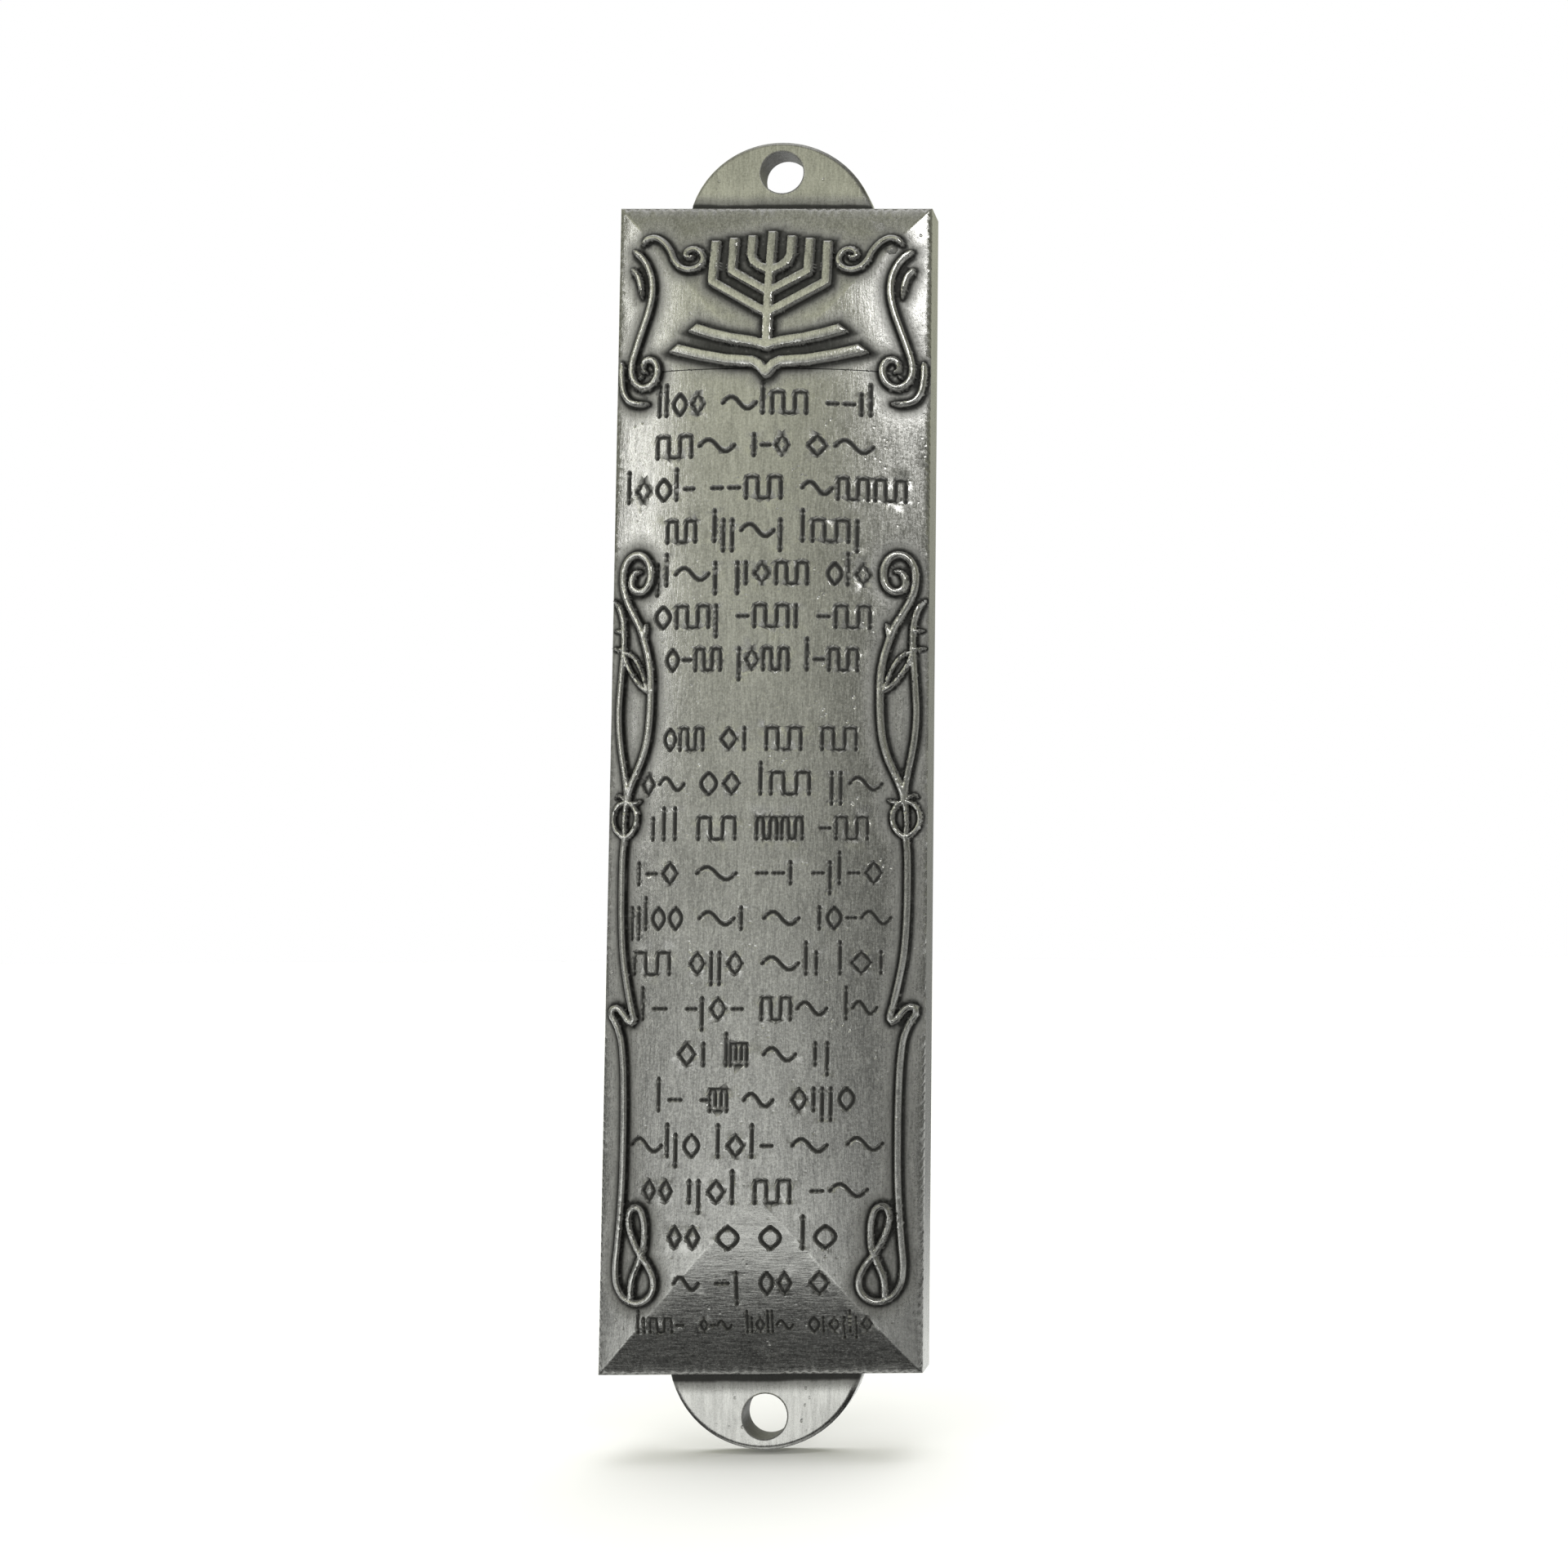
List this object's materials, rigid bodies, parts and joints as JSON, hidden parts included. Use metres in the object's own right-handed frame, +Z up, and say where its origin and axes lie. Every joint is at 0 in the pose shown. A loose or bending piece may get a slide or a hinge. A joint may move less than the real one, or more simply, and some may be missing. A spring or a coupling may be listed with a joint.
{
  "type": "mezuzah case",
  "caption": "Cast metal doorpost case with a vaulted, relief-decorated front, two screw tabs and a rear cover over a rolled parchment scroll.",
  "frame": {"origin": "middle between the two screw holes, on the wall plane at the back", "axes": "+Z up along the case's length, -Y out of the decorated front, +Y into the wall"},
  "size_m": [0.0286, 0.0077, 0.12],
  "materials": {
    "antique_casting": "antiqued zinc casting, brushed on the high faces, dark patina in the recesses",
    "cover_sheet": "lightly brushed sheet",
    "screw_steel": "turned, satin",
    "parchment": "matt animal parchment, slightly aged",
    "clear_sleeve": "clear thin plastic wrap"
  },
  "bodies": {
    "case": {"case_body": "antique_casting"},
    "cover": {"back_cover": "cover_sheet", "cover_screws": "screw_steel"},
    "scroll": {"parchment_scroll": "parchment", "scroll_sleeve": "clear_sleeve"}
  },
  "joints": [
    {"name": "cover_lift", "type": "slide", "parent": "case", "child": "cover", "axis": [0, 1, 0], "range_m": [0, 0.03]},
    {"name": "scroll_lift", "type": "slide", "parent": "case", "child": "scroll", "axis": [0, 1, 0], "range_m": [0, 0.015]}
  ],
  "couplings": [
    {"joint": "scroll_lift", "follows": "cover_lift", "ratio": 0.5}
  ]
}
